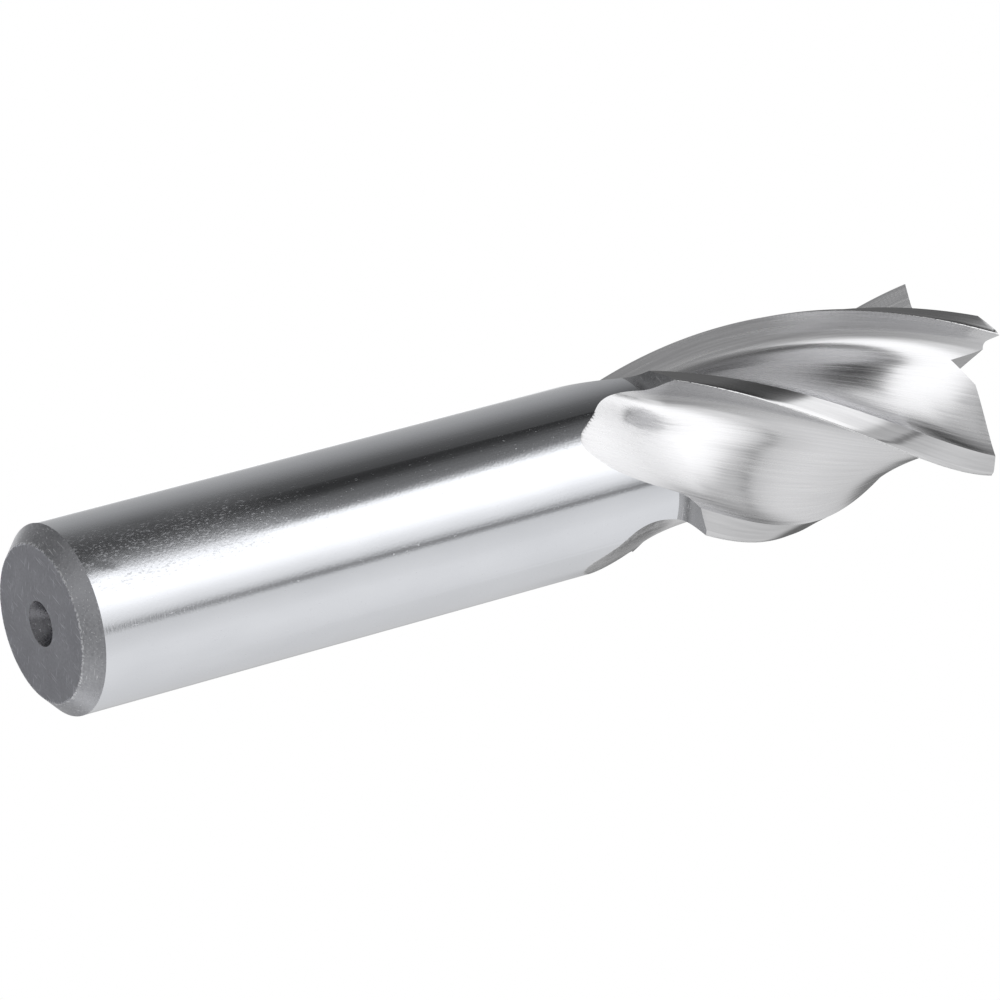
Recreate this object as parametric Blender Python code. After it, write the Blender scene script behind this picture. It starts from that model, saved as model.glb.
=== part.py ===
# Four-flute end mill with a straight shank, ground from one bar of high-speed tool steel.
#
# The real tool is turned to a blank, then a grinding wheel sweeps the four helical flutes and tips out over the
# shank at the end of each one, relieves the lands behind the cutting edges, and grinds the end teeth. The model is
# made in the same order. The unit is the metre, and Z points up. The tool stands on its flat shank end, whose
# centre is the origin, with the teeth at the top and the first cutting corner on +X.

from math import cos, pi, radians, sin, tan

import bmesh
import bpy
from mathutils import Matrix, Vector
from mathutils.geometry import interpolate_bezier

MM = 0.001

# The blank: a straight shank, a short step and the larger cutting head
OVERALL_LENGTH = 92.0 * MM
SHANK_DIAMETER = 16.0 * MM
CUTTER_DIAMETER = 19.0 * MM
HEAD_LENGTH = 32.5 * MM
STEP_ANGLE = radians(45.0)
STEP_FILLET_RADIUS = 2.0 * MM
SHANK_CHAMFER = 1.4 * MM

# The centre hole in the shank end, which carries the bar while it is ground
CENTRE_MOUTH_DIAMETER = 3.8 * MM
CENTRE_PILOT_DIAMETER = 1.6 * MM
CENTRE_ANGLE = radians(60.0)
CENTRE_PILOT_DEPTH = 1.5 * MM

# The flutes, seen in a slice across the tool with the cutting edge on +X
TEETH = 4
HELIX_ANGLE = radians(30.0)
RAKE_ANGLE = radians(9.0)
RAKE_WIDTH = 1.8 * MM
CORE_DIAMETER = 11.9 * MM
ROOT_ANGLE = radians(26.0)
HEEL_ANGLE = radians(15.0)

# How long the flute's curve holds its direction where it leaves each end, as a share of the chord
HOOK_REACH = 0.4
ROOT_REACH = 0.4
HEEL_REACH = 0.25

# The two relieved bands of each land, both angles measured from the tangent at the cutting edge
PRIMARY_WIDTH = 0.55 * MM
PRIMARY_RELIEF = radians(8.0)
SECONDARY_WIDTH = 1.85 * MM
SECONDARY_RELIEF = radians(26.5)

# The run-out: from the step down the wheel tips about the heel side of the flute, then lifts clear of the shank
EXIT_LENGTH = 11.2 * MM
EXIT_PIVOT_ANGLE = radians(70.0)
EXIT_TILT = radians(24.6)
EXIT_LIFT = 0.6 * MM
EXIT_LIFT_DIRECTION = radians(80.0)

# The end teeth, whose cutting edges start just off the axis
END_EDGE_START = 0.2 * MM
END_DISH = radians(2.0)
END_SKEW = radians(0.6)
END_PRIMARY_WIDTH = 0.9 * MM
END_PRIMARY_RELIEF = radians(7.0)
END_SECONDARY_RELIEF = radians(14.0)
GASH_SLOPE = radians(29.0)
GASH_OPENING = radians(44.0)
END_OVERLAP = 0.3 * MM

# Material that the blank carries before it is ground, and how far a cutter reaches past what it cuts
GRINDING_STOCK = 0.5 * MM
CLEARANCE = 1.5 * MM
EDGE_LAP = 0.15 * MM
RAKE_LAP = 3.0 * MM
RELIEF_LAP = 4.5 * MM
TOP_LAP = 0.5 * MM
OUTSIDE_RADIUS = 16.0 * MM
OUTSIDE_TURNS = [1.2, 0.6, 0.03]

# Fineness of the mesh
BLANK_SEGMENTS = 72
HOOK_STEPS = 6
BACK_STEPS = 8
FILLET_STEPS = 4
HEAD_STEPS = 40
EXIT_STEPS = 13
SMOOTH_ANGLE = radians(24.0)
MERGE_DISTANCE = 0.002 * MM

# Sizes that follow from the ones above
SHANK_RADIUS = SHANK_DIAMETER / 2
CUTTER_RADIUS = CUTTER_DIAMETER / 2
CORE_RADIUS = CORE_DIAMETER / 2
BLANK_RADIUS = CUTTER_RADIUS + GRINDING_STOCK
TOOTH_PITCH = 2 * pi / TEETH
TWIST = tan(HELIX_ANGLE) / CUTTER_RADIUS
STEP_TOP = OVERALL_LENGTH - HEAD_LENGTH
STEP_BOTTOM = STEP_TOP - (CUTTER_RADIUS - SHANK_RADIUS) / tan(STEP_ANGLE)


def direction(angle):
    """Unit vector in the slice plane, at an angle from +X."""
    return Vector((cos(angle), sin(angle), 0.0))


def clear_scene():
    for old in list(bpy.data.objects):
        bpy.data.objects.remove(old, do_unlink=True)


def new_object(name, bm):
    """Turn a finished bmesh into an object with its faces pointing out."""
    bmesh.ops.recalc_face_normals(bm, faces=bm.faces)
    mesh = bpy.data.meshes.new(name)
    bm.to_mesh(mesh)
    bm.free()
    thing = bpy.data.objects.new(name, mesh)
    bpy.context.scene.collection.objects.link(thing)
    return thing


def blank_outline():
    """Half section of the turned blank as (radius, height), from the bottom of the centre hole to the top."""
    mouth = CENTRE_MOUTH_DIAMETER / 2
    pilot = CENTRE_PILOT_DIAMETER / 2
    cone_depth = (mouth - pilot) / tan(CENTRE_ANGLE / 2)
    pilot_bottom = cone_depth + CENTRE_PILOT_DEPTH
    stock_step = STEP_BOTTOM + (BLANK_RADIUS - SHANK_RADIUS) / tan(STEP_ANGLE)
    fillet = []
    fillet_start = STEP_BOTTOM - STEP_FILLET_RADIUS * tan(STEP_ANGLE / 2)
    for step in range(FILLET_STEPS + 1):
        turned = STEP_ANGLE * step / FILLET_STEPS
        fillet.append((SHANK_RADIUS + STEP_FILLET_RADIUS * (1 - cos(turned)),
                       fillet_start + STEP_FILLET_RADIUS * sin(turned)))
    return [
        (0.0, pilot_bottom + pilot / tan(CENTRE_ANGLE)),
        (pilot, pilot_bottom),
        (pilot, cone_depth),
        (mouth, 0.0),
        (SHANK_RADIUS - SHANK_CHAMFER, 0.0),
        (SHANK_RADIUS, SHANK_CHAMFER),
        *fillet,
        (BLANK_RADIUS, stock_step),
        (BLANK_RADIUS, OVERALL_LENGTH + GRINDING_STOCK),
        (0.0, OVERALL_LENGTH + GRINDING_STOCK),
    ]


def make_blank():
    """Spin the half section round Z, as the bar turns in a lathe."""
    bm = bmesh.new()
    points = [bm.verts.new((radius, 0.0, height)) for radius, height in blank_outline()]
    edges = [bm.edges.new(pair) for pair in zip(points, points[1:])]
    bmesh.ops.spin(bm, geom=points + edges, axis=(0, 0, 1), cent=(0, 0, 0), angle=2 * pi,
                   steps=BLANK_SEGMENTS, use_merge=True)
    bmesh.ops.remove_doubles(bm, verts=bm.verts, dist=MERGE_DISTANCE)
    return new_object("end_mill", bm)


def bezier(start, start_angle, start_reach, end, end_angle, end_reach, steps):
    """Points of a curve that leaves one point and meets the next at given directions."""
    handle_out = start + start_reach * direction(start_angle)
    handle_in = end - end_reach * direction(end_angle)
    return interpolate_bezier(start, handle_out, handle_in, end, steps + 1)


def land_points():
    """The heel, the break between the two reliefs and the cutting edge of a land, with the edge on +X."""
    edge = Vector((CUTTER_RADIUS, 0.0, 0.0))
    line_break = edge + PRIMARY_WIDTH * direction(-pi / 2 - PRIMARY_RELIEF)
    heel = line_break + SECONDARY_WIDTH * direction(-pi / 2 - SECONDARY_RELIEF)
    return heel, line_break, edge


def flute_outline():
    """Closed outline of what the wheel takes out of one flute, in a slice with the cutting edge on +X.

    It runs down the rake face, round the root, up the back of the next tooth and over that tooth's two reliefs.
    The rake and the last relief run straight on past their cutting edges, and a cutting edge is where one
    flute's rake crosses the relief of the flute before it.
    """
    inward = pi + RAKE_ANGLE
    edge = Vector((CUTTER_RADIUS, 0.0, 0.0))
    rake_end = edge + RAKE_WIDTH * direction(inward)
    root = CORE_RADIUS * direction(ROOT_ANGLE)
    root_angle = ROOT_ANGLE + pi / 2
    hook_reach = HOOK_REACH * (rake_end - root).length
    hook = bezier(rake_end, inward, hook_reach, root, root_angle, hook_reach, HOOK_STEPS)

    to_next = Matrix.Rotation(TOOTH_PITCH, 3, "Z")
    heel, line_break, next_edge = [to_next @ point for point in land_points()]
    heel_angle = TOOTH_PITCH + HEEL_ANGLE
    back_length = (heel - root).length
    back = bezier(root, root_angle, ROOT_REACH * back_length, heel, heel_angle, HEEL_REACH * back_length,
                  BACK_STEPS)

    rake_lap = [edge - lap * direction(inward) for lap in (RAKE_LAP, EDGE_LAP)]
    relief_line = (next_edge - line_break).normalized()
    relief_lap = [next_edge + lap * relief_line for lap in (EDGE_LAP, RELIEF_LAP)]
    outside = [OUTSIDE_RADIUS * direction(TOOTH_PITCH * share) for share in OUTSIDE_TURNS]
    return rake_lap + hook + back[1:] + [line_break] + relief_lap + outside


def flute_placements():
    """Where the outline stands at each step of the cut, from above the tip down and out over the shank.

    Below the step the rake side tips out of the steel first, and the heel side stays in line with the helix.
    """
    top = OVERALL_LENGTH + GRINDING_STOCK + TOP_LAP
    stations = [(top + (STEP_TOP - top) * step / HEAD_STEPS, 0.0, 0.0) for step in range(HEAD_STEPS + 1)]
    for step in range(1, EXIT_STEPS + 1):
        share = step / EXIT_STEPS
        tilt = EXIT_TILT * share ** 2 * (3 - 2 * share)
        stations.append((STEP_TOP - EXIT_LENGTH * share, tilt, EXIT_LIFT * share ** 3))
    pivot = Matrix.Translation(SHANK_RADIUS * direction(EXIT_PIVOT_ANGLE))
    placements = []
    for height, tilt, lift in stations:
        on_helix = Matrix.Translation((0, 0, height)) @ Matrix.Rotation((height - OVERALL_LENGTH) * TWIST, 4, "Z")
        lifted = Matrix.Translation(lift * direction(EXIT_LIFT_DIRECTION))
        placements.append(on_helix @ lifted @ pivot @ Matrix.Rotation(tilt, 4, "Z") @ pivot.inverted())
    return placements


def make_flute_cutter(tooth):
    """Extrude the flute outline from station to station, twisting it along the helix."""
    bm = bmesh.new()
    placements = flute_placements()
    start = Matrix.Rotation(tooth * TOOTH_PITCH, 4, "Z")
    corners = [bm.verts.new(start @ placements[0] @ point) for point in flute_outline()]
    ring = list(bm.faces.new(corners).edges)
    for before, after in zip(placements, placements[1:]):
        extruded = bmesh.ops.extrude_edge_only(bm, edges=ring)["geom"]
        moved = {item for item in extruded if isinstance(item, bmesh.types.BMVert)}
        ring = [item for item in extruded if isinstance(item, bmesh.types.BMEdge) and moved.issuperset(item.verts)]
        bmesh.ops.transform(bm, matrix=start @ after @ before.inverted() @ start.inverted(), verts=list(moved))
    bmesh.ops.edgeloop_fill(bm, edges=ring)
    return new_object(f"flute_cutter_{tooth}", bm)


def end_tooth_frame(tooth):
    """Frame of an end tooth, with X along its cutting edge, turned about the corner of the tooth.

    The edge dips towards the axis and passes a little ahead of it, so opposite teeth never share a plane.
    """
    corner = Matrix.Translation((CUTTER_RADIUS, 0, 0))
    swivel = corner @ Matrix.Rotation(-END_SKEW, 4, "Z") @ Matrix.Rotation(-END_DISH, 4, "Y") @ corner.inverted()
    return Matrix.Translation((0, 0, OVERALL_LENGTH)) @ Matrix.Rotation(tooth * TOOTH_PITCH, 4, "Z") @ swivel


def make_gash_cutter(tooth):
    """A wedge that opens the end of a flute to the centre: one upright wall is the rake of the end tooth."""
    reach = BLANK_RADIUS + CLEARANCE
    run = reach - END_EDGE_START
    above = GRINDING_STOCK + CLEARANCE
    corners = [
        (END_EDGE_START, 0.0, 0.0),
        (reach, 0.0, -run * tan(GASH_SLOPE)),
        (reach, run * tan(GASH_OPENING), 0.0),
    ]
    raised = [(x, y, above) for x, y, z in corners]
    bm = bmesh.new()
    for point in corners + raised:
        bm.verts.new(point)
    bmesh.ops.convex_hull(bm, input=bm.verts)
    bmesh.ops.transform(bm, matrix=end_tooth_frame(tooth), verts=bm.verts)
    return new_object(f"gash_cutter_{tooth}", bm)


def make_end_relief_cutter(tooth):
    """A prism whose underside is the two reliefs behind an end cutting edge.

    It laps a little over the edge and the axis, and its inner side leans away from the gash before it, so no two
    cuts share a plane.
    """
    reach = BLANK_RADIUS + CLEARANCE
    above = GRINDING_STOCK + CLEARANCE
    primary_drop = END_PRIMARY_WIDTH * tan(END_PRIMARY_RELIEF)
    secondary_drop = (reach - END_PRIMARY_WIDTH) * tan(END_SECONDARY_RELIEF)
    outline = [
        (END_OVERLAP, END_OVERLAP * tan(END_PRIMARY_RELIEF)),
        (-END_PRIMARY_WIDTH, -primary_drop),
        (-reach, -primary_drop - secondary_drop),
        (-reach, above),
        (END_OVERLAP, above),
    ]
    bm = bmesh.new()
    inner = [bm.verts.new((-END_OVERLAP - y * tan(GASH_OPENING / 2), y, z)) for y, z in outline]
    extruded = bmesh.ops.extrude_face_region(bm, geom=[bm.faces.new(inner)])["geom"]
    outer = [item for item in extruded if isinstance(item, bmesh.types.BMVert)]
    bmesh.ops.translate(bm, vec=(reach + CLEARANCE, 0, 0), verts=outer)
    bmesh.ops.transform(bm, matrix=end_tooth_frame(tooth), verts=bm.verts)
    return new_object(f"end_relief_cutter_{tooth}", bm)


def grind(tool, cutters):
    """Take all the cutters out of the tool in one exact cut, keep the result as plain mesh and drop them."""
    together = bpy.data.collections.new("cutters")
    for cutter in cutters:
        together.objects.link(cutter)
    cut = tool.modifiers.new("grind", "BOOLEAN")
    cut.operation = "DIFFERENCE"
    cut.solver = "EXACT"
    cut.operand_type = "COLLECTION"
    cut.collection = together
    evaluated = tool.evaluated_get(bpy.context.evaluated_depsgraph_get())
    ground = bpy.data.meshes.new_from_object(evaluated)
    ground.name = tool.name
    tool.modifiers.clear()
    tool.data = ground
    for cutter in cutters:
        bpy.data.objects.remove(cutter, do_unlink=True)
    bpy.data.collections.remove(together)


def clean_mesh(tool):
    """Merge the points that the cuts left on top of each other and shade the ground faces smooth."""
    bm = bmesh.new()
    bm.from_mesh(tool.data)
    bmesh.ops.remove_doubles(bm, verts=bm.verts, dist=MERGE_DISTANCE)
    bmesh.ops.dissolve_degenerate(bm, edges=bm.edges, dist=MERGE_DISTANCE / 2)
    bmesh.ops.triangulate(bm, faces=bm.faces)
    bm.to_mesh(tool.data)
    bm.free()
    tool.data.shade_smooth()
    tool.data.set_sharp_from_angle(angle=SMOOTH_ANGLE)


def tool_steel():
    """Ground high-speed steel: bright, slightly warm grey metal."""
    material = bpy.data.materials.new("ground_tool_steel")
    material.use_nodes = True
    surface = material.node_tree.nodes["Principled BSDF"]
    surface.inputs["Base Color"].default_value = (0.62, 0.62, 0.63, 1.0)
    surface.inputs["Metallic"].default_value = 1.0
    surface.inputs["Roughness"].default_value = 0.28
    return material


def main():
    clear_scene()
    tool = make_blank()
    cutters = []
    for tooth in range(TEETH):
        cutters += [make_flute_cutter(tooth), make_gash_cutter(tooth), make_end_relief_cutter(tooth)]
    grind(tool, cutters)
    clean_mesh(tool)
    tool.data.materials.clear()
    tool.data.materials.append(tool_steel())


main()
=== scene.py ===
# %% [markdown]
# # A four-flute end mill
#
# An end mill is a milling cutter with teeth round its side and across its end. A plain round bar of
# high-speed steel is turned to a blank, hardened, and then ground: the wheel sweeps the flutes, backs off
# the lands behind the cutting edges and opens the end teeth. This lesson makes it in the same order with
# bmesh operators, gives every ground surface its own finish, and then lights it as metal is lit in a
# studio.
#
# The frame comes first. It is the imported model, and the new tool takes the place of its one node.

# %% Load the frame
from math import cos, pi, radians, sin, tan

import bmesh
import bpy
from mathutils import Matrix, Vector
from mathutils.geometry import interpolate_bezier


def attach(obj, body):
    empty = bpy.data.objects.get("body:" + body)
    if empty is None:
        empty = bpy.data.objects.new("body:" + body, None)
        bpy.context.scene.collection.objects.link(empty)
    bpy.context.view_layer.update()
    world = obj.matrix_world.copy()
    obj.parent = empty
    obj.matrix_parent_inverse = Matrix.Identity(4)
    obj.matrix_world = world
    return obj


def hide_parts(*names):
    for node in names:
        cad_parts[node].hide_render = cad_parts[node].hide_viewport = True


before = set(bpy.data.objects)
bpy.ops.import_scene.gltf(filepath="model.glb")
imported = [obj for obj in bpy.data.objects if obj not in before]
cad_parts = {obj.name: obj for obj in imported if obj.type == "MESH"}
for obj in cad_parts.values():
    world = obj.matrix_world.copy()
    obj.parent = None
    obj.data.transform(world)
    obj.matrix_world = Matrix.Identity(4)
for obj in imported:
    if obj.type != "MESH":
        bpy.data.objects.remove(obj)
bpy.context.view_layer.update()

MM = 0.001

# %% [markdown]
# ## Names for the finishes
#
# A ground tool has no paint. What tells its surfaces apart is how each was cut: the shank is ground round,
# the flutes are ground lengthwise, the lands are finer, the end of the shank is dull from turning and
# hardening. Each finish is a material. They are made here without their nodes, so that the modelling steps
# can hand each face to its finish, and the boolean cut then carries the numbers over to the faces it makes.

# %% One empty material for each finish
FINISH_NAMES = ["ground_shank", "turned_end", "shank_chamfer", "centre_hole", "step_cone",
                "flute_grind", "primary_land", "secondary_land", "end_teeth"]
finishes = [bpy.data.materials.new(name) for name in FINISH_NAMES]
SHANK, END, CHAMFER, HOLE, STEP, FLUTE, PRIMARY, SECONDARY, TIP = range(len(FINISH_NAMES))
print("finishes:", ", ".join(FINISH_NAMES))

# %% A helper that turns a bmesh into an object
def new_object(name, bm):
    """The faces point out, the slots are the finishes in order, and the object stays at the origin."""
    bmesh.ops.recalc_face_normals(bm, faces=bm.faces)
    mesh = bpy.data.meshes.new(name)
    bm.to_mesh(mesh)
    bm.free()
    for finish in finishes:
        mesh.materials.append(finish)
    thing = bpy.data.objects.new(name, mesh)
    bpy.context.scene.collection.objects.link(thing)
    return thing

# %% [markdown]
# ## The turned blank
#
# A lathe turns the bar, so the blank is half a section spun round Z. The section starts in the centre hole
# that carries the bar between centres, crosses the flat end, goes round the chamfer, up the shank and over
# the filleted step, and ends at the top, which is left half a millimetre too big all round for the wheel to
# take off.

# %% Sizes of the blank
LENGTH = 92.0 * MM
SHANK_RADIUS = 8.0 * MM
CUTTER_RADIUS = 9.5 * MM
HEAD_LENGTH = 32.5 * MM
GRINDING_STOCK = 0.5 * MM
BLANK_RADIUS = CUTTER_RADIUS + GRINDING_STOCK
STEP_ANGLE = radians(45.0)
STEP_TOP = LENGTH - HEAD_LENGTH
STEP_BOTTOM = STEP_TOP - (CUTTER_RADIUS - SHANK_RADIUS) / tan(STEP_ANGLE)
FILLET_RADIUS = 2.0 * MM
CHAMFER_SIZE = 1.4 * MM
HOLE_MOUTH = 1.9 * MM
HOLE_PILOT = 0.8 * MM
HOLE_ANGLE = radians(60.0)
PILOT_DEPTH = 1.5 * MM
BLANK_STEPS = 240
SEAM_GAP = 0.001 * MM
print(f"shank {2 * SHANK_RADIUS / MM:.0f} mm, cutter {2 * CUTTER_RADIUS / MM:.0f} mm,",
      f"length {LENGTH / MM:.0f} mm")

# %% Half section of the blank
FILLET_STEPS = 10
cone_depth = (HOLE_MOUTH - HOLE_PILOT) / tan(HOLE_ANGLE / 2)
pilot_bottom = cone_depth + PILOT_DEPTH
fillet_start = STEP_BOTTOM - FILLET_RADIUS * tan(STEP_ANGLE / 2)
fillet = []
for step in range(FILLET_STEPS + 1):
    turned = STEP_ANGLE * step / FILLET_STEPS
    fillet_radius = SHANK_RADIUS + FILLET_RADIUS * (1 - cos(turned))
    fillet.append((fillet_radius, fillet_start + FILLET_RADIUS * sin(turned)))
blank_section = [
    (0.0, pilot_bottom + HOLE_PILOT / tan(HOLE_ANGLE)),
    (HOLE_PILOT, pilot_bottom),
    (HOLE_PILOT, cone_depth),
    (HOLE_MOUTH, 0.0),
    (SHANK_RADIUS - CHAMFER_SIZE, 0.0),
    (SHANK_RADIUS, CHAMFER_SIZE),
    *fillet,
    (BLANK_RADIUS, STEP_BOTTOM + (BLANK_RADIUS - SHANK_RADIUS) / tan(STEP_ANGLE)),
    (BLANK_RADIUS, LENGTH + GRINDING_STOCK),
    (0.0, LENGTH + GRINDING_STOCK),
]
print("points in the section:", len(blank_section))

# %% Which finish a turned face gets
FLAT_END_BAND = CHAMFER_SIZE / 50

def blank_finish(centre):
    """A face of the blank is told by how far it is from the axis and from the end."""
    radius = centre.xy.length
    if centre.z < FLAT_END_BAND:
        return END if radius > HOLE_MOUTH else HOLE
    if radius < HOLE_MOUTH:
        return HOLE
    if centre.z < CHAMFER_SIZE:
        return CHAMFER
    return SHANK if centre.z < fillet_start else STEP

# %% Spin the blank
def make_blank():
    bm = bmesh.new()
    points = [bm.verts.new((radius, 0.0, height)) for radius, height in blank_section]
    edges = [bm.edges.new(pair) for pair in zip(points, points[1:])]
    bmesh.ops.spin(bm, geom=points + edges, axis=(0, 0, 1), cent=(0, 0, 0), angle=2 * pi, steps=BLANK_STEPS,
                   use_merge=True)
    bmesh.ops.remove_doubles(bm, verts=bm.verts, dist=SEAM_GAP)
    for face in bm.faces:
        face.material_index = blank_finish(face.calc_center_median())
    return new_object("ground_end_mill", bm)

tool = make_blank()
print("blank:", len(tool.data.polygons), "faces")

# %% [markdown]
# ## One slice of a flute
#
# Cut the tool across and each flute is the same hollow, turned by a quarter. The outline below is what the
# wheel takes out, seen in the slice where the cutting edge lies on +X. It runs down the rake face, round
# the hooked root, up the back of the next tooth, and over that tooth's secondary and primary relief. Past
# each cutting edge the lines run straight on, so an edge is where two flutes cross, and it comes out keen.

# %% Sizes of the flute
TEETH = 4
TOOTH_PITCH = 2 * pi / TEETH
HELIX_ANGLE = radians(30.0)
TWIST = tan(HELIX_ANGLE) / CUTTER_RADIUS
RAKE_ANGLE = radians(9.0)
RAKE_WIDTH = 1.8 * MM
CORE_RADIUS = 5.95 * MM
ROOT_ANGLE = radians(26.0)
HEEL_ANGLE = radians(15.0)
HOOK_REACH = 0.4
ROOT_REACH = 0.4
HEEL_REACH = 0.25
PRIMARY_WIDTH, PRIMARY_RELIEF = 0.55 * MM, radians(8.0)
SECONDARY_WIDTH, SECONDARY_RELIEF = 1.85 * MM, radians(26.5)
EDGE_LAP = 0.15 * MM
FAR_LAP = 3.0 * MM
OUTSIDE_RADIUS = 16.0 * MM
OUTSIDE_TURNS = [1.2, 0.6, 0.03]
HOOK_STEPS = 16
BACK_STEPS = 22
print(f"the helix turns {TWIST * MM * 180 / pi:.2f} degrees in a millimetre")

# %% Two helpers for curves in the slice
def direction(angle):
    return Vector((cos(angle), sin(angle), 0.0))

def bezier(start, start_angle, start_reach, end, end_angle, end_reach, steps):
    """Points of a curve that leaves one point and meets the next at given directions."""
    handle_out = start + start_reach * direction(start_angle)
    handle_in = end - end_reach * direction(end_angle)
    return interpolate_bezier(start, handle_out, handle_in, end, steps + 1)

# %% The outline and the finish of each of its sides
def flute_outline():
    inward = pi + RAKE_ANGLE
    edge = Vector((CUTTER_RADIUS, 0.0, 0.0))
    rake_end = edge + RAKE_WIDTH * direction(inward)
    root = CORE_RADIUS * direction(ROOT_ANGLE)
    root_angle = ROOT_ANGLE + pi / 2
    hook_reach = HOOK_REACH * (rake_end - root).length
    hook = bezier(rake_end, inward, hook_reach, root, root_angle, hook_reach, HOOK_STEPS)

    line_break = edge + PRIMARY_WIDTH * direction(-pi / 2 - PRIMARY_RELIEF)
    heel = line_break + SECONDARY_WIDTH * direction(-pi / 2 - SECONDARY_RELIEF)
    to_next = Matrix.Rotation(TOOTH_PITCH, 3, "Z")
    heel, line_break, next_edge = [to_next @ point for point in (heel, line_break, edge)]
    back_length = (heel - root).length
    back = bezier(root, root_angle, ROOT_REACH * back_length, heel, TOOTH_PITCH + HEEL_ANGLE,
                  HEEL_REACH * back_length, BACK_STEPS)

    relief_line = (next_edge - line_break).normalized()
    rake_lap = [edge - lap * direction(inward) for lap in (FAR_LAP, EDGE_LAP)]
    relief_lap = [next_edge + lap * relief_line for lap in (EDGE_LAP, FAR_LAP)]
    outside = [OUTSIDE_RADIUS * direction(TOOTH_PITCH * share) for share in OUTSIDE_TURNS]
    sides = [FLUTE] * (len(rake_lap) + HOOK_STEPS + BACK_STEPS) + [SECONDARY, PRIMARY, PRIMARY]
    sides += [PRIMARY] * len(outside)
    return rake_lap + hook + back[1:] + [line_break] + relief_lap + outside, sides

outline, outline_finish = flute_outline()
print("points in the flute's outline:", len(outline))

# %% [markdown]
# ## Sweeping the flute along the helix
#
# The wheel follows the helix down the head, then tips out of the steel with its rake side first, which
# leaves the long shallow scoops below the teeth. The sweep is made the same way: the outline is placed at
# the top, and its ring of edges is extruded from station to station, each time turned and moved by the step
# to the next one.

# %% Stations of the sweep
EXIT_LENGTH = 11.2 * MM
EXIT_PIVOT_ANGLE = radians(70.0)
EXIT_TILT = radians(24.6)
EXIT_LIFT = 0.6 * MM
EXIT_LIFT_DIRECTION = radians(80.0)
HEAD_STEPS = 100
EXIT_STEPS = 36

def flute_placements():
    top = LENGTH + 2 * GRINDING_STOCK
    stations = [(top + (STEP_TOP - top) * step / HEAD_STEPS, 0.0, 0.0) for step in range(HEAD_STEPS + 1)]
    for step in range(1, EXIT_STEPS + 1):
        share = step / EXIT_STEPS
        tilt = EXIT_TILT * share ** 2 * (3 - 2 * share)
        stations.append((STEP_TOP - EXIT_LENGTH * share, tilt, EXIT_LIFT * share ** 3))
    pivot = Matrix.Translation(SHANK_RADIUS * direction(EXIT_PIVOT_ANGLE))
    placements = []
    for height, tilt, lift in stations:
        on_helix = Matrix.Translation((0, 0, height)) @ Matrix.Rotation((height - LENGTH) * TWIST, 4, "Z")
        lifted = Matrix.Translation(lift * direction(EXIT_LIFT_DIRECTION))
        placements.append(on_helix @ lifted @ pivot @ Matrix.Rotation(tilt, 4, "Z") @ pivot.inverted())
    return placements

placements = flute_placements()
print("stations along one flute:", len(placements))

# %% One flute cutter
def make_flute_cutter(tooth):
    bm = bmesh.new()
    start = Matrix.Rotation(tooth * TOOTH_PITCH, 4, "Z")
    corners = [bm.verts.new(start @ placements[0] @ point) for point in outline]
    cap = bm.faces.new(corners)
    ring = [bm.edges.get(pair) for pair in zip(corners, corners[1:] + corners[:1])]
    for before, after in zip(placements, placements[1:]):
        extruded = bmesh.ops.extrude_edge_only(bm, edges=ring)["geom"]
        moved = {item for item in extruded if isinstance(item, bmesh.types.BMVert)}
        walls = {item for item in extruded if isinstance(item, bmesh.types.BMFace)}
        move = start @ after @ before.inverted() @ start.inverted()
        bmesh.ops.transform(bm, matrix=move, verts=list(moved))
        next_ring = []
        for edge, finish in zip(ring, outline_finish):
            wall = next(face for face in edge.link_faces if face in walls)
            wall.material_index = finish
            next_ring.append(next(side for side in wall.edges if moved.issuperset(side.verts)))
        ring = next_ring
    bmesh.ops.edgeloop_fill(bm, edges=ring)
    return new_object(f"flute_cutter_{tooth}", bm)

cutters = [make_flute_cutter(tooth) for tooth in range(TEETH)]
print("one flute cutter:", len(cutters[0].data.polygons), "faces")

# %% [markdown]
# ## The end teeth
#
# The end of the mill cuts too. In front of each tooth a gash opens the flute to the centre, and its upright
# wall is the rake of the end tooth. Behind each end edge two reliefs fall away, and the edges dip a little
# towards the axis, so that only the corners touch the work. Both cutters are small solids in the frame of
# one tooth: X along its end edge, turned about its corner.

# %% Sizes of the end teeth
END_EDGE_START = 0.2 * MM
END_DISH = radians(2.0)
END_SKEW = radians(0.6)
END_PRIMARY_WIDTH, END_PRIMARY_RELIEF = 0.9 * MM, radians(7.0)
END_SECONDARY_RELIEF = radians(14.0)
GASH_SLOPE = radians(29.0)
GASH_OPENING = radians(44.0)
END_OVERLAP = 0.3 * MM
CLEARANCE = 1.5 * MM
REACH = BLANK_RADIUS + CLEARANCE
ABOVE = GRINDING_STOCK + CLEARANCE

def end_tooth_frame(tooth):
    corner = Matrix.Translation((CUTTER_RADIUS, 0, 0))
    skewed = corner @ Matrix.Rotation(-END_SKEW, 4, "Z")
    swivel = skewed @ Matrix.Rotation(-END_DISH, 4, "Y") @ corner.inverted()
    return Matrix.Translation((0, 0, LENGTH)) @ Matrix.Rotation(tooth * TOOTH_PITCH, 4, "Z") @ swivel

print(f"end edges dip {END_DISH * 180 / pi:.0f} degrees and the gash falls {GASH_SLOPE * 180 / pi:.0f}")

# %% The gash wedge is the hull of six points
def make_gash_cutter(tooth):
    run = REACH - END_EDGE_START
    floor = [
        (END_EDGE_START, 0.0, 0.0),
        (REACH, 0.0, -run * tan(GASH_SLOPE)),
        (REACH, run * tan(GASH_OPENING), 0.0),
    ]
    bm = bmesh.new()
    for x, y, z in floor:
        bm.verts.new((x, y, z))
        bm.verts.new((x, y, ABOVE))
    bmesh.ops.convex_hull(bm, input=bm.verts)
    bmesh.ops.transform(bm, matrix=end_tooth_frame(tooth), verts=bm.verts)
    for face in bm.faces:
        face.material_index = TIP
    return new_object(f"gash_cutter_{tooth}", bm)

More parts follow.
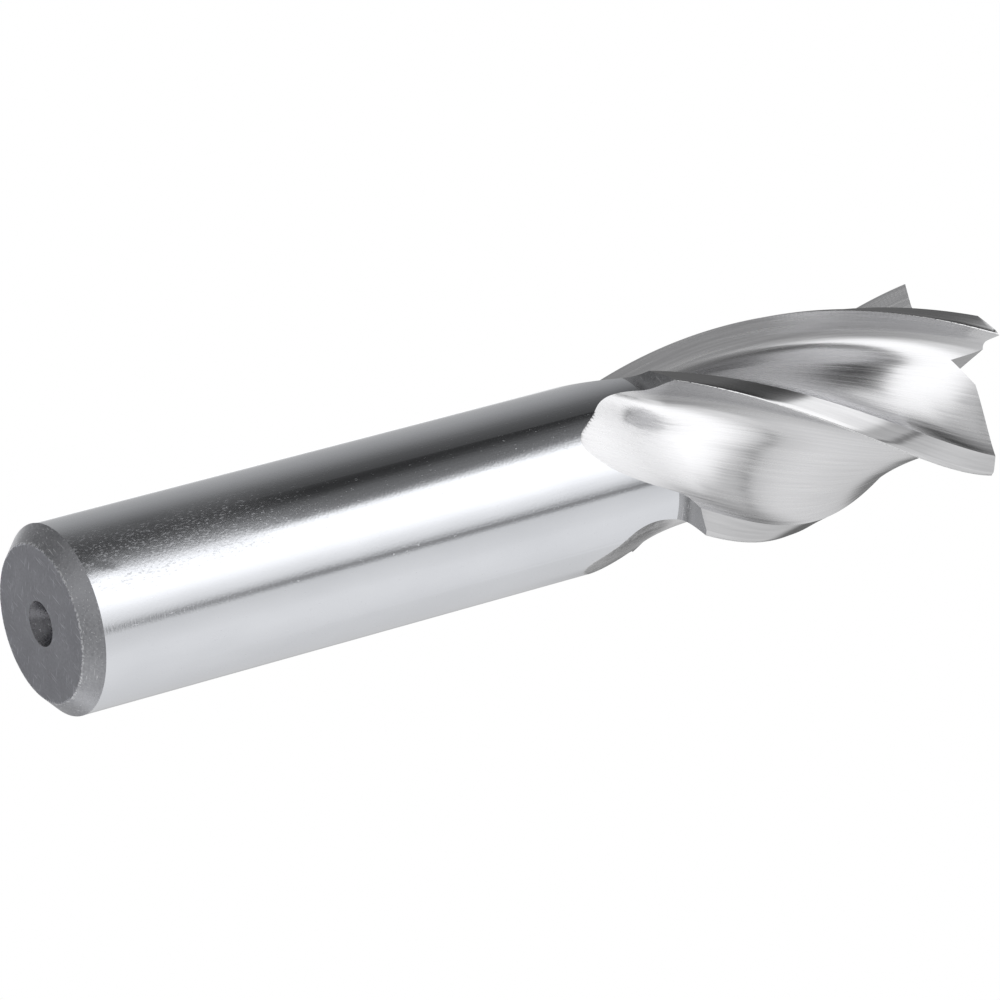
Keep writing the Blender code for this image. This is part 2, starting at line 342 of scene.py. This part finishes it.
# %% The relief prism is a five-sided face, extruded
def make_end_relief_cutter(tooth):
    primary_drop = END_PRIMARY_WIDTH * tan(END_PRIMARY_RELIEF)
    far_drop = primary_drop + (REACH - END_PRIMARY_WIDTH) * tan(END_SECONDARY_RELIEF)
    section = [(END_OVERLAP, END_OVERLAP * tan(END_PRIMARY_RELIEF)), (-END_PRIMARY_WIDTH, -primary_drop),
               (-REACH, -far_drop), (-REACH, ABOVE), (END_OVERLAP, ABOVE)]
    bm = bmesh.new()
    inner = [bm.verts.new((-END_OVERLAP - y * tan(GASH_OPENING / 2), y, z)) for y, z in section]
    extruded = bmesh.ops.extrude_face_region(bm, geom=[bm.faces.new(inner)])["geom"]
    outer = [item for item in extruded if isinstance(item, bmesh.types.BMVert)]
    bmesh.ops.translate(bm, vec=(REACH + CLEARANCE, 0, 0), verts=outer)
    bmesh.ops.transform(bm, matrix=end_tooth_frame(tooth), verts=bm.verts)
    for face in bm.faces:
        face.material_index = TIP
    return new_object(f"end_relief_cutter_{tooth}", bm)

cutters += [make_gash_cutter(tooth) for tooth in range(TEETH)]
cutters += [make_end_relief_cutter(tooth) for tooth in range(TEETH)]
print("cutters in all:", len(cutters))

# %% [markdown]
# ## Grinding
#
# All the cutters go into one collection and leave the blank in a single exact boolean. One cut keeps every
# edge shared between two cutters clean, where twelve cuts in turn would each meet the slivers of the one
# before. The modifier is applied by reading the evaluated mesh back, so the finished piece carries plain
# faces.

# %% One exact cut
def grind(thing, wheels):
    together = bpy.data.collections.new("wheels")
    for wheel in wheels:
        together.objects.link(wheel)
    cut = thing.modifiers.new("grind", "BOOLEAN")
    cut.operation = "DIFFERENCE"
    cut.solver = "EXACT"
    cut.operand_type = "COLLECTION"
    cut.collection = together
    evaluated = thing.evaluated_get(bpy.context.evaluated_depsgraph_get())
    ground = bpy.data.meshes.new_from_object(evaluated)
    thing.modifiers.clear()
    thing.data = ground
    for wheel in wheels:
        bpy.data.objects.remove(wheel, do_unlink=True)
    bpy.data.collections.remove(together)

grind(tool, cutters)
print("after grinding:", len(tool.data.polygons), "faces")

# %% Merge what the cut left double, and shade the ground faces smooth
SMOOTH_ANGLE = radians(20.0)
WELD_DISTANCE = 0.0005 * MM
SLIVER_SIZE = 0.0003 * MM
bm = bmesh.new()
bm.from_mesh(tool.data)
bmesh.ops.remove_doubles(bm, verts=bm.verts, dist=WELD_DISTANCE)
bmesh.ops.dissolve_degenerate(bm, edges=bm.edges, dist=SLIVER_SIZE)
bmesh.ops.triangulate(bm, faces=bm.faces)
open_edges = sum(1 for edge in bm.edges if len(edge.link_faces) != 2)
bm.to_mesh(tool.data)
bm.free()
tool.data.shade_smooth()
tool.data.set_sharp_from_angle(angle=SMOOTH_ANGLE)
print("triangles:", len(tool.data.polygons), "edges that aren't closed:", open_edges)

# %% Stand it in for the CAD node
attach(tool, "root")
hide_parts("end_mill")
print("faces for each finish:", [sum(1 for face in tool.data.polygons if face.material_index == index)
                                 for index in range(len(FINISH_NAMES))])

# %% [markdown]
# ## Helpers for the finishes
#
# A finish is a small tree of nodes that starts at the point's own place on the tool, which Texture
# Coordinate gives as Object. A number can go into an input as it is, or a wire from another node can, so
# one helper feeds both. The others add a sum, a soft step from one value to another, and a noise that is
# stretched as a wheel's scratches are.

# %% Feed an input, add a sum
def feed(tree, socket, value):
    """A wire is linked, and a number or a colour is set on the input itself."""
    if isinstance(value, bpy.types.NodeSocket):
        tree.links.new(value, socket)
    else:
        socket.default_value = value

def add_sum(tree, operation, *values):
    node = tree.nodes.new("ShaderNodeMath")
    node.operation = operation
    for socket, value in zip(node.inputs, values):
        feed(tree, socket, value)
    return node.outputs["Value"]

# %% A soft step and a stretched noise
def soft_step(tree, value, start, end, low=0.0, high=1.0):
    """Goes from low to high while the value goes from start to end."""
    node = tree.nodes.new("ShaderNodeMapRange")
    node.interpolation_type = "SMOOTHSTEP"
    limits = {"Value": value, "From Min": start, "From Max": end, "To Min": low, "To Max": high}
    for name, given in limits.items():
        feed(tree, node.inputs[name], given)
    return node.outputs["Result"]

def grain(tree, place, size, detail=2.0):
    """Noise whose blots have about the given size along X, Y and Z."""
    stretch = tree.nodes.new("ShaderNodeMapping")
    stretch.inputs["Scale"].default_value = [1 / length for length in size]
    feed(tree, stretch.inputs["Vector"], place)
    noise = tree.nodes.new("ShaderNodeTexNoise")
    noise.inputs["Scale"].default_value = 1.0
    noise.inputs["Detail"].default_value = detail
    feed(tree, noise.inputs["Vector"], stretch.outputs["Vector"])
    return noise.outputs["Fac"]

# %% Places on the tool
def own_place(tree):
    return tree.nodes.new("ShaderNodeTexCoord").outputs["Object"]

def split(tree, place):
    node = tree.nodes.new("ShaderNodeSeparateXYZ")
    feed(tree, node.inputs["Vector"], place)
    return node.outputs["X"], node.outputs["Y"], node.outputs["Z"]

def spun(tree, place, angle):
    """The place turned about the tool's axis."""
    node = tree.nodes.new("ShaderNodeVectorRotate")
    node.rotation_type = "Z_AXIS"
    feed(tree, node.inputs["Vector"], place)
    feed(tree, node.inputs["Angle"], angle)
    return node.outputs["Vector"]

def unwound_place(tree):
    """The place with the helix wound back, so that a scratch along a flute stands upright."""
    place = own_place(tree)
    height = split(tree, place)[2]
    return spun(tree, place, add_sum(tree, "MULTIPLY", add_sum(tree, "SUBTRACT", LENGTH, height), TWIST))

# %% The metal itself
def start_metal(name):
    finish = bpy.data.materials[name]
    finish.use_nodes = True
    surface = finish.node_tree.nodes["Principled BSDF"]
    surface.inputs["Metallic"].default_value = 1.0
    return finish.node_tree, surface

def colour_between(tree, surface, share, dark, light):
    ramp = tree.nodes.new("ShaderNodeValToRGB")
    ramp.color_ramp.elements[0].color = (*dark, 1.0)
    ramp.color_ramp.elements[1].color = (*light, 1.0)
    feed(tree, ramp.inputs["Fac"], share)
    feed(tree, surface.inputs["Base Color"], ramp.outputs["Color"])

def raise_surface(tree, surface, height, depth):
    bump = tree.nodes.new("ShaderNodeBump")
    bump.inputs["Distance"].default_value = depth
    feed(tree, bump.inputs["Height"], height)
    feed(tree, surface.inputs["Normal"], bump.outputs["Normal"])

print("helpers ready")

# %% [markdown]
# ## The ground shank
#
# A shank is ground between centres while it turns, so its scratches run round it, a tenth of a millimetre
# apart or less. They are too fine to see one by one, and show as a slight blur along the axis. Near its end
# the shank has been rubbed on one side: there the pits are deeper, the steel is duller, and rough specks
# stand in it. The place is spun so that this side looks along X. Three soft steps, up the axis, towards
# that side and over a patchy noise, are multiplied, and say how much wear a point has. Wear goes into
# height and roughness. The colour only wanders between two pale greys.

# %% Where the shank is worn
RUBBED_SIDE = radians(76.0)
RUBBED_FROM, RUBBED_TO = 0.86 * SHANK_RADIUS, 0.97 * SHANK_RADIUS
CLEAN_ABOVE, WORN_BELOW = 30 * MM, 10 * MM
print(f"worn below {WORN_BELOW / MM:.0f} mm, clean above {CLEAN_ABOVE / MM:.0f} mm")

# %% Finish of the shank
RING_LENGTH, RING_WIDTH = 9 * MM, 0.14 * MM
PIT_SIZE = 0.22 * MM
CLEAN_ROUGHNESS, WORN_ROUGHNESS, SPECK_ROUGHNESS = 0.12, 0.26, 0.20

tree, surface = start_metal("ground_shank")
place = own_place(tree)
rings = grain(tree, place, (RING_LENGTH, RING_LENGTH, RING_WIDTH))
pits = grain(tree, place, (PIT_SIZE, PIT_SIZE, PIT_SIZE), detail=3.0)
patches = grain(tree, place, (3.5 * MM, 3.5 * MM, 6 * MM))
towards_rubbed_side, _, height_up = split(tree, spun(tree, place, -RUBBED_SIDE))
near_end = soft_step(tree, height_up, CLEAN_ABOVE, WORN_BELOW)
rubbed = soft_step(tree, towards_rubbed_side, RUBBED_FROM, RUBBED_TO)
worn_zone = add_sum(tree, "MULTIPLY", near_end, rubbed)
wear = add_sum(tree, "MULTIPLY", worn_zone, soft_step(tree, patches, 0.30, 0.50))
speck_noise = grain(tree, place, (0.12 * MM, 0.12 * MM, 0.34 * MM))
specks = soft_step(tree, add_sum(tree, "MULTIPLY_ADD", wear, 0.10, speck_noise), 0.62, 0.78)
colour_between(tree, surface, patches, (0.735, 0.75, 0.785), (0.82, 0.835, 0.87))
roughness = soft_step(tree, wear, 0.0, 1.0, CLEAN_ROUGHNESS, WORN_ROUGHNESS)
feed(tree, surface.inputs["Roughness"], add_sum(tree, "MULTIPLY_ADD", specks, SPECK_ROUGHNESS, roughness))
pit_height = add_sum(tree, "MULTIPLY", pits, add_sum(tree, "MULTIPLY_ADD", wear, 1.2, 0.5))
height = add_sum(tree, "MULTIPLY_ADD", rings, 0.35, pit_height)
raise_surface(tree, surface, height, 0.006 * MM)
print("ground_shank:", len(tree.nodes), "nodes")

# %% [markdown]
# ## The dull end
#
# The end of the shank is only turned and sawn, and hardening leaves it grey. The centre hole is coloured
# much darker than the end, which is painted shade inside the deep hole. The marks of the turning tool run
# in rings round the centre hole, so their noise reads the distance from the axis. Scratches are noise
# again, stretched in two directions and cut off so that only the highest parts stay.

# %% Rings round the axis, scratches, and a worn edge with a painted highlight
EDGE_WEAR_AND_HIGHLIGHT_REACH, EDGE_WEAR_AND_HIGHLIGHT_CORE = 0.16 * MM, 0.05 * MM

def axis_distance(tree, place):
    x, y, _ = split(tree, place)
    return add_sum(tree, "SQRT", add_sum(tree, "MULTIPLY_ADD", x, x, add_sum(tree, "MULTIPLY", y, y)))

def turning_rings(tree, place, width):
    node = tree.nodes.new("ShaderNodeCombineXYZ")
    feed(tree, node.inputs["X"], axis_distance(tree, place))
    feed(tree, node.inputs["Y"], split(tree, place)[2])
    return grain(tree, node.outputs["Vector"], (width, width, width))

def scratches(tree, place, angle, length, width):
    lines = grain(tree, spun(tree, place, angle), (length, width, width), detail=1.0)
    return soft_step(tree, lines, 0.66, 0.75)

def worn_edge_and_highlight(tree, place, specks):
    """The edge between the end and the chamfer has been knocked on the bench, and its ring is painted
    lighter as a painted highlight.
    """
    off_edge = add_sum(tree, "SUBTRACT", axis_distance(tree, place), SHANK_RADIUS - CHAMFER_SIZE)
    band = soft_step(tree, add_sum(tree, "ABSOLUTE", off_edge), EDGE_WEAR_AND_HIGHLIGHT_REACH, EDGE_WEAR_AND_HIGHLIGHT_CORE)
    return add_sum(tree, "MULTIPLY", band, soft_step(tree, specks, 0.46, 0.58))

# %% Finish of the dull faces
def dull_steel(name, dark, light, roughness, depth):
    tree, surface = start_metal(name)
    place = own_place(tree)
    specks = grain(tree, place, (0.22 * MM, 0.22 * MM, 0.22 * MM), detail=4.0)
    clouds = grain(tree, place, (3 * MM, 3 * MM, 3 * MM))
    nicks_and_edge_highlight = add_sum(tree, "MAXIMUM", scratches(tree, place, 0.5, 2.4 * MM, 0.12 * MM),
                    scratches(tree, place, 2.2, 1.8 * MM, 0.1 * MM))
    nicks_and_edge_highlight = add_sum(tree, "MAXIMUM", nicks_and_edge_highlight, worn_edge_and_highlight(tree, place, specks))
    shade = add_sum(tree, "MULTIPLY_ADD", specks, 0.5, add_sum(tree, "MULTIPLY", clouds, 0.3))
    # The nicks and the edge ring lighten the colour: the nicks are scratches, and the ring is wear with a
    # painted highlight.
    colour_between(tree, surface, add_sum(tree, "MULTIPLY_ADD", nicks_and_edge_highlight, 0.8, shade), dark, light)
    feed(tree, surface.inputs["Roughness"], soft_step(tree, specks, 0.3, 0.7, roughness, roughness + 0.12))
    height = add_sum(tree, "MULTIPLY_ADD", turning_rings(tree, place, 0.2 * MM), 0.4, specks)
    raise_surface(tree, surface, add_sum(tree, "SUBTRACT", height, nicks_and_edge_highlight), depth)
    print(f"{name}: {len(tree.nodes)} nodes")

dull_steel("turned_end", (0.32, 0.325, 0.36), (0.88, 0.89, 0.95), 0.42, 0.010 * MM)
dull_steel("shank_chamfer", (0.30, 0.305, 0.335), (0.94, 0.95, 0.98), 0.34, 0.020 * MM)
# The centre hole's colours are far darker than the end's: painted shade inside the deep hole.
dull_steel("centre_hole", (0.05, 0.05, 0.06), (0.62, 0.62, 0.66), 0.24, 0.022 * MM)
dull_steel("step_cone", (0.34, 0.345, 0.36), (0.68, 0.685, 0.71), 0.24, 0.006 * MM)

# %% [markdown]
# ## The ground flutes
#
# The wheel runs lengthwise along a flute, and its grit leaves long streaks that follow the helix. With the
# place wound back by the helix, the streaks stand upright, so a noise that is narrow across and long in Z
# draws them on all four flutes at once, and also where the wheel lifts out over the shank. Broad waves
# under the fine streaks bend the mirrored room a little, which draws its white and black panels out along
# the flute.

# %% Finish of the flutes
tree, surface = start_metal("flute_grind")
place = unwound_place(tree)
streaks = grain(tree, place, (0.22 * MM, 0.22 * MM, 10 * MM), detail=2.0)
broad = grain(tree, place, (0.9 * MM, 0.9 * MM, 16 * MM), detail=1.0)
specks = soft_step(tree, grain(tree, own_place(tree), (0.3 * MM, 0.3 * MM, 0.3 * MM)), 0.72, 0.80)
shade = add_sum(tree, "MULTIPLY_ADD", specks, 0.4, streaks)
colour_between(tree, surface, shade, (0.66, 0.66, 0.675), (0.86, 0.86, 0.87))
feed(tree, surface.inputs["Roughness"], soft_step(tree, streaks, 0.3, 0.7, 0.20, 0.28))
raise_surface(tree, surface, add_sum(tree, "MULTIPLY_ADD", broad, 2.0, streaks), 0.007 * MM)
print("flute_grind:", len(tree.nodes), "nodes")

# %% [markdown]
# ## The lands and their edges
#
# The two relieved bands behind a cutting edge are ground last with a finer wheel, so they mirror more
# sharply. Along the cutting edge itself the steel is crumbled and rounded by a hair. In a strip a fifth of
# a millimetre wide the height falls to the edge, which turns the mirrored light as a rounded edge would and
# draws a bright thread. In the same strip the colour is painted lighter as well, a painted glint over the
# crumbled steel. The distance from the cutting edge is the wound-back angle, folded into one tooth pitch,
# times the radius, so the strip follows all four helices.

# %% Distance from the nearest cutting edge
def edge_distance(tree, place):
    x, y, z = split(tree, place)
    angle = add_sum(tree, "ARCTAN2", y, x)
    folded = add_sum(tree, "WRAP", angle, TOOTH_PITCH / 2, -TOOTH_PITCH / 2)
    return add_sum(tree, "MULTIPLY", add_sum(tree, "ABSOLUTE", folded), CUTTER_RADIUS)

# %% Finish of the lands
EDGE_STRIP = 0.18 * MM
EDGE_ROUGHNESS = 0.34
EDGE_FALL = -14.0

def ground_land(name, dark, light, roughness):
    tree, surface = start_metal(name)
    place = unwound_place(tree)
    streaks = grain(tree, place, (0.3 * MM, 0.3 * MM, 6 * MM))
    crumbs = grain(tree, own_place(tree), (0.16 * MM, 0.16 * MM, 0.3 * MM), detail=3.0)
    near_edge = soft_step(tree, edge_distance(tree, place), EDGE_STRIP, 0.0)
    crumbled_and_glint = add_sum(tree, "MULTIPLY", near_edge, soft_step(tree, crumbs, 0.34, 0.54, 0.45, 1.0))
    # Near the cutting edge the colour is painted lighter too: a painted glint along the edge, over the
    # crumbled steel.
    colour_between(tree, surface, add_sum(tree, "ADD", streaks, crumbled_and_glint), dark, light)
    feed(tree, surface.inputs["Roughness"], soft_step(tree, crumbled_and_glint, 0.0, 0.5, roughness, EDGE_ROUGHNESS))
    raise_surface(tree, surface, add_sum(tree, "MULTIPLY_ADD", crumbled_and_glint, EDGE_FALL, streaks), 0.004 * MM)
    print(f"{name}: {len(tree.nodes)} nodes")

ground_land("primary_land", (0.60, 0.60, 0.61), (0.80, 0.80, 0.81), 0.12)
ground_land("secondary_land", (0.54, 0.54, 0.55), (0.72, 0.72, 0.73), 0.13)
ground_land("end_teeth", (0.62, 0.62, 0.63), (0.82, 0.82, 0.83), 0.20)

# %% [markdown]
# ## The camera
#
# The camera was fitted to the outlines of the shank, the corners of the teeth and the helical edges. It
# stands to the side of the tool and looks up at it from below the plane of the floor, so the shank's end is
# seen. Three directions say how it is turned: right and up in the picture, and the third follows from the
# two.

# %% Camera
CAMERA_PLACE = Vector((-0.11353, 0.40876, -0.20799))
CAMERA_RIGHT = Vector((-0.38274, 0.40605, 0.82984))
CAMERA_UP = Vector((0.89476, 0.38656, 0.22355))
CAMERA_LENS = 211.45

camera = bpy.data.objects.new("camera", bpy.data.cameras.new("camera"))
camera.data.lens = CAMERA_LENS
camera.data.sensor_width = 36.0
camera.data.clip_start = 0.01
towards_camera = CAMERA_RIGHT.cross(CAMERA_UP).normalized()
turn = Matrix((CAMERA_RIGHT.normalized(), towards_camera.cross(CAMERA_RIGHT).normalized(), towards_camera))
camera.matrix_world = Matrix.Translation(CAMERA_PLACE) @ turn.transposed().to_4x4()
bpy.context.scene.collection.objects.link(camera)
bpy.context.scene.camera = camera
print(f"the camera stands {CAMERA_PLACE.length / MM:.0f} mm from the end of the shank")

# %% [markdown]
# ## A room for metal
#
# Polished metal has hardly a look of its own: it shows the room. A photographer puts it in a tent of pale
# cloth, lights one side with a soft box and leaves a dark gap, and the bands along the shank are these
# three. Here the world is plain white and lights the floor, and the tent is a large ball that only mirrored
# rays can see.

# %% White world
world = bpy.data.worlds.new("white_room")
world.use_nodes = True
background = world.node_tree.nodes["Background"]
background.inputs["Color"].default_value = (1.0, 1.0, 1.0, 1.0)
background.inputs["Strength"].default_value = 1.0
scene = bpy.context.scene
scene.world = world
scene.view_settings.view_transform = "Standard"
print("world:", world.name)

# %% The tent is a ball round the tool
TENT_RADIUS = 1.0
tent_centre = Vector((0.0, 0.0, LENGTH / 2))
bm = bmesh.new()
bmesh.ops.create_uvsphere(bm, u_segments=64, v_segments=32, radius=TENT_RADIUS)
bmesh.ops.reverse_faces(bm, faces=bm.faces)
tent_mesh = bpy.data.meshes.new("tent")
bm.to_mesh(tent_mesh)
bm.free()
tent_mesh.shade_smooth()
tent = bpy.data.objects.new("tent", tent_mesh)
tent.location = tent_centre
scene.collection.objects.link(tent)
tent.visible_camera = tent.visible_diffuse = tent.visible_shadow = False
print("tent:", len(tent_mesh.polygons), "faces")

# %% [markdown]
# The cloth is pale behind the tool's back and almost black on its other side, and it greys towards its top
# and its floor. Panels hang in front of it, each given by its angles round the tool, its angles above the
# horizon, how soft its edges are and how bright it is. The soft box and the ceiling make the white bands,
# and the backdrop lights the rims. The soft box leans over and dims along its length, so its highlight
# isn't an even stripe. The flag and the gap over the backdrop are dark, and draw the dark lines next to the
# white ones. The low card lies where the scoops look by way of the tooth above them. The panels below the
# horizon, dark and pale by turns, are what the tool mirrors when it is seen from above: under one even tone
# it looks like plastic.

# %% Tones of the cloth, and the panels
CLOTH_TONES = [(-180, 0.85), (-98, 0.63), (-84, 0.42), (-50, 0.50), (-20, 0.36), (-4, 0.24), (10, 0.115),
               (36, 0.03), (43, 0.04), (50, 0.13), (64, 0.22), (90, 0.50), (125, 0.62), (166, 0.85)]
CLOTH_TOP, TOP_FADE = 0.32, (65, 82)
CLOTH_FLOOR, FLOOR_FADE = 0.30, (22, -14)
BACKDROP = ((-82, -57), (-4, 33), (7, 4), 1.3)
BACKDROP_GAP = ((-108, 8), (34.5, 70), (8, 2.5), 0.16)
FLAG = ((129.5, 137), (24, 90), (3, 2), 0.24)
CEILING = ((-40, 86), (49.5, 64), (8, 2.5), 1.2)
LOW_CARD = ((104, 141), (1, 21), (6, 4), 0.95)
DARK_FLOOR = ((-40, 24), (-72, -4), (8, 10), 0.17)
LOW_LIGHT = ((28, 100), (-80, -50), (10, 6), 0.58)
DARK_BACK = ((-106, -68), (-72, -8), (8, 8), 0.20)
BACK_CARD = ((-134, -119), (-72, -6), (5, 6), 1.15)
RIM_CARD = ((-60, -49), (-72, -6), (4, 6), 1.10)
FAR_CARD = ((150, 200), (-46, -18), (8, 6), 0.66)
SOFT_BOX = ((68, 126), (-1, 54), (4.5, 9), 1.4)
SOFT_BOX_END_LEVEL, SOFT_BOX_DIMS_FROM = 0.85, 96
SOFT_BOX_LEAN, SOFT_BOX_LEANS_FROM = 0.85, 30

# %% The angles round the tool and above the horizon, in degrees
material = bpy.data.materials.new("tent_cloth")
material.use_nodes = True
tree = material.node_tree
tree.nodes.remove(tree.nodes["Principled BSDF"])
x, y, z = split(tree, own_place(tree))
degree = 180 / pi
around = add_sum(tree, "MULTIPLY", add_sum(tree, "ARCTAN2", y, x), degree)
above = add_sum(tree, "MULTIPLY", add_sum(tree, "ARCSINE", add_sum(tree, "DIVIDE", z, TENT_RADIUS)), degree)

# %% The cloth wall, tone by tone round the tool
walls = tree.nodes.new("ShaderNodeValToRGB")
feed(tree, walls.inputs["Fac"], add_sum(tree, "DIVIDE", add_sum(tree, "ADD", around, 180), 360))
stops = walls.color_ramp.elements
for index, (angle, tone) in enumerate(CLOTH_TONES):
    place_on_ramp = (angle + 180) / 360
    stop = stops[index] if index < 2 else stops.new(place_on_ramp)
    stop.position = place_on_ramp
    stop.color = (tone, tone, tone, 1.0)
top = soft_step(tree, above, *TOP_FADE, 1.0, CLOTH_TOP)
cloth = add_sum(tree, "MULTIPLY", walls.outputs["Color"], top)
print("tones round the tent:", len(stops))

# %% Hang the panels
def blend(under, level, share):
    return add_sum(tree, "MULTIPLY_ADD", add_sum(tree, "SUBTRACT", level, under), share, under)

def panel(turned, sides, ends, edges):
    """One inside the panel and nothing outside, with soft edges."""
    share = 1.0
    for value, limits, edge in ((turned, sides, edges[0]), (above, ends, edges[1])):
        for limit, inward in zip(limits, (edge, -edge)):
            share = add_sum(tree, "MULTIPLY", share, soft_step(tree, value, limit - inward, limit + inward))
    return share

light = blend(cloth, CLOTH_FLOOR, soft_step(tree, above, *FLOOR_FADE))
for sides, ends, edges, level in (BACKDROP, BACKDROP_GAP, FLAG, CEILING, LOW_CARD, DARK_FLOOR, LOW_LIGHT,
                                  DARK_BACK, BACK_CARD, RIM_CARD):
    light = blend(light, level, panel(around, sides, ends, edges))
both_sides = add_sum(tree, "ABSOLUTE", around)
sides, ends, edges, level = FAR_CARD
light = blend(light, level, panel(both_sides, sides, ends, edges))
leaned = add_sum(tree, "MAXIMUM", add_sum(tree, "SUBTRACT", above, SOFT_BOX_LEANS_FROM), 0.0)
leaning = add_sum(tree, "MULTIPLY_ADD", leaned, SOFT_BOX_LEAN, around)
sides, ends, edges, level = SOFT_BOX
dimming = soft_step(tree, around, SOFT_BOX_DIMS_FROM, sides[1], level, SOFT_BOX_END_LEVEL)
light = blend(light, dimming, panel(leaning, sides, ends, edges))
glow = tree.nodes.new("ShaderNodeEmission")
feed(tree, glow.inputs["Strength"], light)
feed(tree, tree.nodes["Material Output"].inputs["Surface"], glow.outputs["Emission"])
tent_mesh.materials.append(material)
print("tent_cloth:", len(tree.nodes), "nodes")

# %% [markdown]
# ## The floor
#
# The tool stands on its end on pale paper. The camera is under the paper, so its back is clear: Backfacing
# tells the two sides apart. Only the camera sees the paper. Mirrored rays pass through to the tent, which
# hangs below it too. Away from the tool the paper pales to pure white, so that no line shows where it ends
# and the white world begins.

# %% Floor
FLOOR_HALF_WIDTH = 6.0
FLOOR_DROP = 0.02 * MM

bm = bmesh.new()
bmesh.ops.create_grid(bm, x_segments=1, y_segments=1, size=FLOOR_HALF_WIDTH)
bmesh.ops.translate(bm, vec=(0, 0, -FLOOR_DROP), verts=bm.verts)
floor_mesh = bpy.data.meshes.new("floor")
bm.to_mesh(floor_mesh)
bm.free()
floor = bpy.data.objects.new("floor", floor_mesh)
scene.collection.objects.link(floor)
floor.visible_shadow = False
print(f"floor: {2 * FLOOR_HALF_WIDTH:.0f} m across, just under the end of the shank")

# %% Paper
PALES_FROM, WHITE_FROM = 0.03, 0.5
FIBRE_SIZE = 1.5 * MM

paper = bpy.data.materials.new("pale_paper")
paper.use_nodes = True
tree = paper.node_tree
surface = tree.nodes["Principled BSDF"]
surface.inputs["Roughness"].default_value = 0.9
surface.inputs["Specular IOR Level"].default_value = 0.0
place = own_place(tree)
length = tree.nodes.new("ShaderNodeVectorMath")
length.operation = "LENGTH"
feed(tree, length.inputs[0], place)
distance = soft_step(tree, length.outputs["Value"], PALES_FROM, WHITE_FROM)
fibres = grain(tree, place, (FIBRE_SIZE, FIBRE_SIZE, FIBRE_SIZE))
paleness = add_sum(tree, "MAXIMUM", distance, add_sum(tree, "MULTIPLY", fibres, 0.3))
colour_between(tree, surface, paleness, (0.90, 0.90, 0.90), (1.0, 1.0, 1.0))
clear = tree.nodes.new("ShaderNodeBsdfTransparent")
mix = tree.nodes.new("ShaderNodeMixShader")
front = add_sum(tree, "SUBTRACT", 1.0, tree.nodes.new("ShaderNodeNewGeometry").outputs["Backfacing"])
seen = add_sum(tree, "MULTIPLY", front, tree.nodes.new("ShaderNodeLightPath").outputs["Is Camera Ray"])
feed(tree, mix.inputs["Fac"], seen)
feed(tree, mix.inputs[1], clear.outputs["BSDF"])
feed(tree, mix.inputs[2], surface.outputs["BSDF"])
feed(tree, tree.nodes["Material Output"].inputs["Surface"], mix.outputs["Shader"])
floor_mesh.materials.append(paper)
print("pale_paper:", len(tree.nodes), "nodes")
